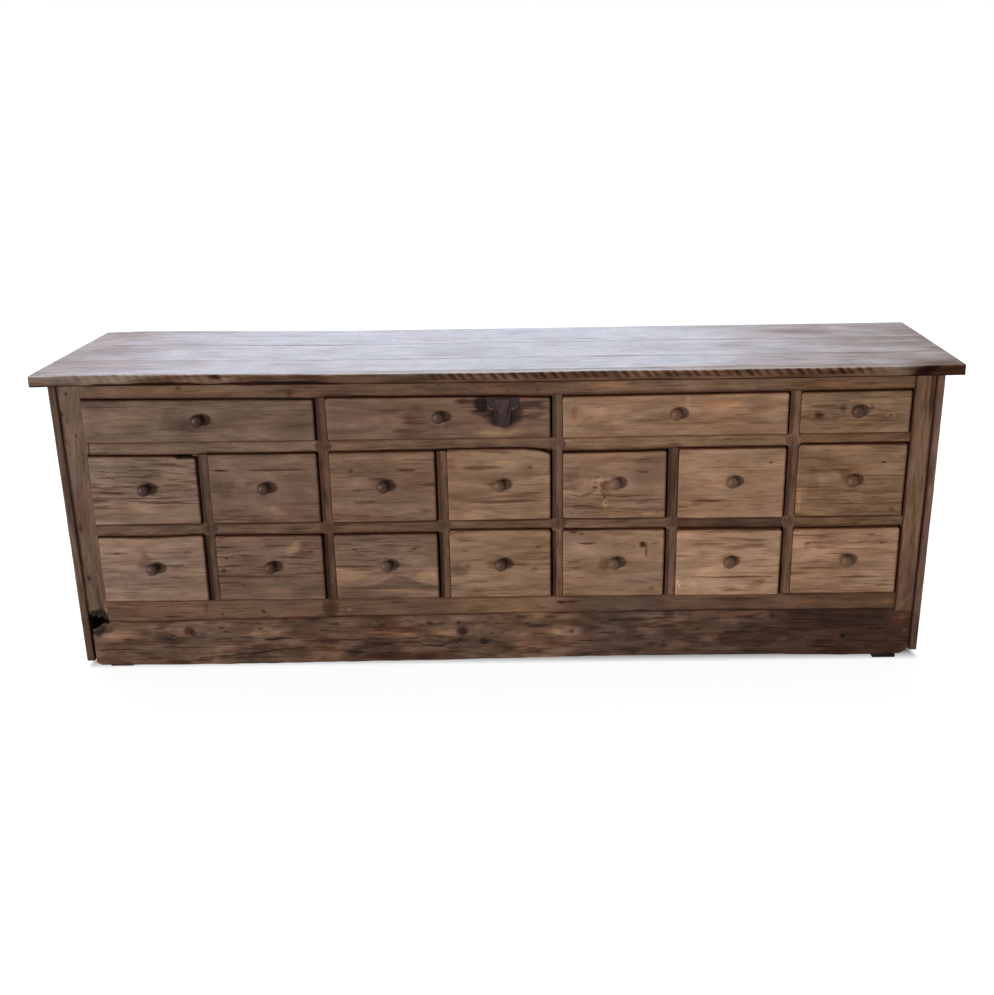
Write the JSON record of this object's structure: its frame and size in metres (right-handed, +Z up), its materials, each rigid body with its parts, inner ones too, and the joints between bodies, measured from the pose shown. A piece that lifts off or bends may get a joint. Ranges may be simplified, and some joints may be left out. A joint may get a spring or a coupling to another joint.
{
  "type": "workshop drawer cabinet",
  "caption": "Low, wide wooden workshop cabinet: rows of sliding drawers with turned knobs in a joined face frame, on a plinth board, under an overhanging plank top.",
  "frame": {"origin": "centre of the outer box, on the floor", "axes": "+X to the right along the front, +Y from the front to the back, +Z up"},
  "size_m": [2.3, 0.56, 0.806],
  "materials": {
    "top_wood": "worn wax",
    "frame_wood": "worn wax",
    "side_wood": "bare, weathered",
    "drawer_wood": "worn wax",
    "knob_wood": "polished by handling",
    "plinth_wood": "rough, dark",
    "inner_wood": "bare",
    "iron": "dark, rusted"
  },
  "bodies": {
    "cabinet": {"top_plank_front": "top_wood", "top_plank_middle": "top_wood", "top_plank_back": "top_wood", "side_panel_left": "side_wood", "side_panel_right": "side_wood", "stile_left": "frame_wood", "stile_right": "frame_wood", "top_rail": "frame_wood", "bottom_rail": "frame_wood", "dividers": "frame_wood", "muntins": "frame_wood", "upper_rails": "frame_wood", "lower_rails": "frame_wood", "plinth_board": "plinth_wood", "back_boards": "inner_wood", "back_rails": "inner_wood", "bottom_boards": "inner_wood", "drawer_runners": "inner_wood", "drawer_guides": "inner_wood", "top_battens": "inner_wood", "base_bearers": "inner_wood", "foot_pads": "plinth_wood", "nails": "iron"},
    "upper_drawer_1": {"drawer_upper_1": "drawer_wood", "knob_upper_1": "knob_wood"},
    "upper_drawer_2": {"drawer_upper_2": "drawer_wood", "knob_upper_2": "knob_wood", "lock_plate": "iron"},
    "upper_drawer_3": {"drawer_upper_3": "drawer_wood", "knob_upper_3": "knob_wood"},
    "upper_drawer_4": {"drawer_upper_4": "drawer_wood", "knob_upper_4": "knob_wood"},
    "middle_drawer_1": {"drawer_middle_1": "drawer_wood", "knob_middle_1": "knob_wood"},
    "middle_drawer_2": {"drawer_middle_2": "drawer_wood", "knob_middle_2": "knob_wood"},
    "middle_drawer_3": {"drawer_middle_3": "drawer_wood", "knob_middle_3": "knob_wood"},
    "middle_drawer_4": {"drawer_middle_4": "drawer_wood", "knob_middle_4": "knob_wood"},
    "middle_drawer_5": {"drawer_middle_5": "drawer_wood", "knob_middle_5": "knob_wood"},
    "middle_drawer_6": {"drawer_middle_6": "drawer_wood", "knob_middle_6": "knob_wood"},
    "middle_drawer_7": {"drawer_middle_7": "drawer_wood", "knob_middle_7": "knob_wood"},
    "lower_drawer_1": {"drawer_lower_1": "drawer_wood", "knob_lower_1": "knob_wood"},
    "lower_drawer_2": {"drawer_lower_2": "drawer_wood", "knob_lower_2": "knob_wood"},
    "lower_drawer_3": {"drawer_lower_3": "drawer_wood", "knob_lower_3": "knob_wood"},
    "lower_drawer_4": {"drawer_lower_4": "drawer_wood", "knob_lower_4": "knob_wood"},
    "lower_drawer_5": {"drawer_lower_5": "drawer_wood", "knob_lower_5": "knob_wood"},
    "lower_drawer_6": {"drawer_lower_6": "drawer_wood", "knob_lower_6": "knob_wood"},
    "lower_drawer_7": {"drawer_lower_7": "drawer_wood", "knob_lower_7": "knob_wood"}
  },
  "joints": [
    {"name": "upper_drawer_1_slide", "type": "slide", "parent": "cabinet", "child": "upper_drawer_1", "axis": [0, -1, 0], "range_m": [0, 0.38]},
    {"name": "upper_drawer_2_slide", "type": "slide", "parent": "cabinet", "child": "upper_drawer_2", "axis": [0, -1, 0], "range_m": [0, 0.38]},
    {"name": "upper_drawer_3_slide", "type": "slide", "parent": "cabinet", "child": "upper_drawer_3", "axis": [0, -1, 0], "range_m": [0, 0.38]},
    {"name": "upper_drawer_4_slide", "type": "slide", "parent": "cabinet", "child": "upper_drawer_4", "axis": [0, -1, 0], "range_m": [0, 0.38]},
    {"name": "middle_drawer_1_slide", "type": "slide", "parent": "cabinet", "child": "middle_drawer_1", "axis": [0, -1, 0], "range_m": [0, 0.38]},
    {"name": "middle_drawer_2_slide", "type": "slide", "parent": "cabinet", "child": "middle_drawer_2", "axis": [0, -1, 0], "range_m": [0, 0.38]},
    {"name": "middle_drawer_3_slide", "type": "slide", "parent": "cabinet", "child": "middle_drawer_3", "axis": [0, -1, 0], "range_m": [0, 0.38]},
    {"name": "middle_drawer_4_slide", "type": "slide", "parent": "cabinet", "child": "middle_drawer_4", "axis": [0, -1, 0], "range_m": [0, 0.38]},
    {"name": "middle_drawer_5_slide", "type": "slide", "parent": "cabinet", "child": "middle_drawer_5", "axis": [0, -1, 0], "range_m": [0, 0.38]},
    {"name": "middle_drawer_6_slide", "type": "slide", "parent": "cabinet", "child": "middle_drawer_6", "axis": [0, -1, 0], "range_m": [0, 0.38]},
    {"name": "middle_drawer_7_slide", "type": "slide", "parent": "cabinet", "child": "middle_drawer_7", "axis": [0, -1, 0], "range_m": [0, 0.38]},
    {"name": "lower_drawer_1_slide", "type": "slide", "parent": "cabinet", "child": "lower_drawer_1", "axis": [0, -1, 0], "range_m": [0, 0.38]},
    {"name": "lower_drawer_2_slide", "type": "slide", "parent": "cabinet", "child": "lower_drawer_2", "axis": [0, -1, 0], "range_m": [0, 0.38]},
    {"name": "lower_drawer_3_slide", "type": "slide", "parent": "cabinet", "child": "lower_drawer_3", "axis": [0, -1, 0], "range_m": [0, 0.38]},
    {"name": "lower_drawer_4_slide", "type": "slide", "parent": "cabinet", "child": "lower_drawer_4", "axis": [0, -1, 0], "range_m": [0, 0.38]},
    {"name": "lower_drawer_5_slide", "type": "slide", "parent": "cabinet", "child": "lower_drawer_5", "axis": [0, -1, 0], "range_m": [0, 0.38]},
    {"name": "lower_drawer_6_slide", "type": "slide", "parent": "cabinet", "child": "lower_drawer_6", "axis": [0, -1, 0], "range_m": [0, 0.38]},
    {"name": "lower_drawer_7_slide", "type": "slide", "parent": "cabinet", "child": "lower_drawer_7", "axis": [0, -1, 0], "range_m": [0, 0.38]}
  ]
}
